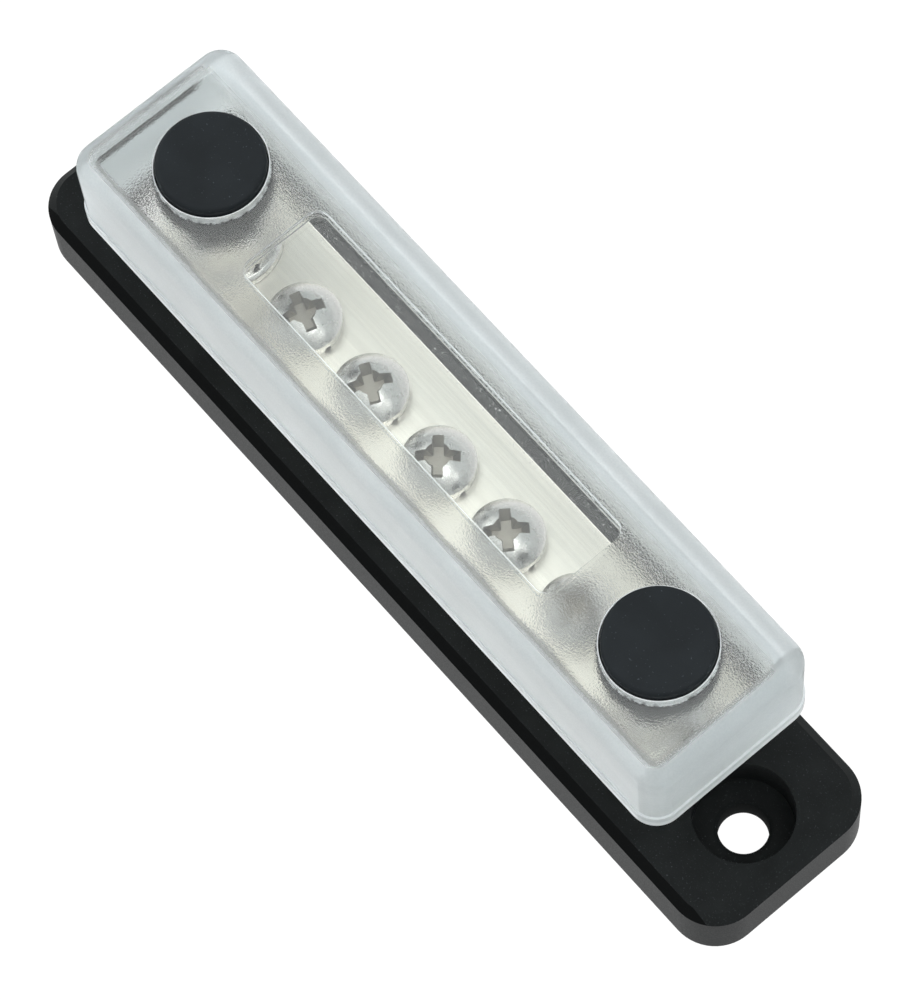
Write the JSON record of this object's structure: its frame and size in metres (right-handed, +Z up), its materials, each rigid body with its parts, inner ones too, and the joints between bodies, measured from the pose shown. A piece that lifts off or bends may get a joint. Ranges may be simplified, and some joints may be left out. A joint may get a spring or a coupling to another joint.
{
  "type": "busbar with cover",
  "caption": "Covered power busbar: a tin-plated bar with terminal screws and end studs on a black moulded base, under a frosted lift-off cover with a clear window.",
  "frame": {"origin": "centre of the underside of the base, where the part stands on its panel", "axes": "+X along the bar, +Y across it, +Z up through the cover"},
  "size_m": [0.11, 0.023, 0.0325],
  "materials": {
    "base_plastic": "moulded black with a fine pale speckle",
    "cap_plastic": "smooth matte black",
    "tinned_bar": "tin plated, brushed along its length",
    "plated_steel": "bright plated",
    "cover_plastic": "frosted, with a clear window in the top"
  },
  "bodies": {
    "base": {"base": "base_plastic", "busbar": "tinned_bar", "stud_left": "plated_steel", "stud_right": "plated_steel", "stud_washer_left": "plated_steel", "stud_washer_right": "plated_steel", "cap_left": "cap_plastic", "cap_right": "cap_plastic"},
    "cover": {"cover": "cover_plastic"},
    "screw_lock_washer_1": {"screw_lock_washer_1": "plated_steel"},
    "screw_1": {"screw_1": "plated_steel"},
    "screw_lock_washer_2": {"screw_lock_washer_2": "plated_steel"},
    "screw_2": {"screw_2": "plated_steel"},
    "screw_lock_washer_3": {"screw_lock_washer_3": "plated_steel"},
    "screw_3": {"screw_3": "plated_steel"},
    "screw_lock_washer_4": {"screw_lock_washer_4": "plated_steel"},
    "screw_4": {"screw_4": "plated_steel"},
    "screw_lock_washer_5": {"screw_lock_washer_5": "plated_steel"},
    "screw_5": {"screw_5": "plated_steel"},
    "stud_lock_washer_left": {"stud_lock_washer_left": "plated_steel"},
    "nut_left": {"nut_left": "plated_steel"},
    "stud_lock_washer_right": {"stud_lock_washer_right": "plated_steel"},
    "nut_right": {"nut_right": "plated_steel"}
  },
  "joints": [
    {"name": "cover_lift", "type": "slide", "parent": "base", "child": "cover", "axis": [0, 0, 1], "range_m": [0, 0.04]},
    {"name": "screw_1_rise", "type": "slide", "parent": "base", "child": "screw_lock_washer_1", "axis": [0, 0, 1], "range_m": [0, 0.0049]},
    {"name": "screw_1_turn", "type": "hinge", "parent": "screw_lock_washer_1", "child": "screw_1", "pos_m": [-0.0216, 0, 0.012], "axis": [0, 0, 1], "range_deg": [0, 2521]},
    {"name": "screw_2_rise", "type": "slide", "parent": "base", "child": "screw_lock_washer_2", "axis": [0, 0, 1], "range_m": [0, 0.0049]},
    {"name": "screw_2_turn", "type": "hinge", "parent": "screw_lock_washer_2", "child": "screw_2", "pos_m": [-0.0108, 0, 0.012], "axis": [0, 0, 1], "range_deg": [0, 2521]},
    {"name": "screw_3_rise", "type": "slide", "parent": "base", "child": "screw_lock_washer_3", "axis": [0, 0, 1], "range_m": [0, 0.0049]},
    {"name": "screw_3_turn", "type": "hinge", "parent": "screw_lock_washer_3", "child": "screw_3", "pos_m": [0, 0, 0.012], "axis": [0, 0, 1], "range_deg": [0, 2521]},
    {"name": "screw_4_rise", "type": "slide", "parent": "base", "child": "screw_lock_washer_4", "axis": [0, 0, 1], "range_m": [0, 0.0049]},
    {"name": "screw_4_turn", "type": "hinge", "parent": "screw_lock_washer_4", "child": "screw_4", "pos_m": [0.0108, 0, 0.012], "axis": [0, 0, 1], "range_deg": [0, 2521]},
    {"name": "screw_5_rise", "type": "slide", "parent": "base", "child": "screw_lock_washer_5", "axis": [0, 0, 1], "range_m": [0, 0.0049]},
    {"name": "screw_5_turn", "type": "hinge", "parent": "screw_lock_washer_5", "child": "screw_5", "pos_m": [0.0216, 0, 0.012], "axis": [0, 0, 1], "range_deg": [0, 2521]},
    {"name": "nut_left_rise", "type": "slide", "parent": "base", "child": "stud_lock_washer_left", "axis": [0, 0, 1], "range_m": [0, 0.002]},
    {"name": "nut_left_turn", "type": "hinge", "parent": "stud_lock_washer_left", "child": "nut_left", "pos_m": [-0.0344, 0, 0.012], "axis": [0, 0, 1], "range_deg": [0, 721]},
    {"name": "nut_right_rise", "type": "slide", "parent": "base", "child": "stud_lock_washer_right", "axis": [0, 0, 1], "range_m": [0, 0.002]},
    {"name": "nut_right_turn", "type": "hinge", "parent": "stud_lock_washer_right", "child": "nut_right", "pos_m": [0.0344, 0, 0.012], "axis": [0, 0, 1], "range_deg": [0, 721]}
  ],
  "couplings": [
    {"joint": "screw_1_turn", "follows": "screw_1_rise", "rad_per_m": 8976},
    {"joint": "screw_2_turn", "follows": "screw_2_rise", "rad_per_m": 8976},
    {"joint": "screw_3_turn", "follows": "screw_3_rise", "rad_per_m": 8976},
    {"joint": "screw_4_turn", "follows": "screw_4_rise", "rad_per_m": 8976},
    {"joint": "screw_5_turn", "follows": "screw_5_rise", "rad_per_m": 8976},
    {"joint": "nut_left_turn", "follows": "nut_left_rise", "rad_per_m": 6283.2},
    {"joint": "nut_right_turn", "follows": "nut_right_rise", "rad_per_m": 6283.2}
  ]
}
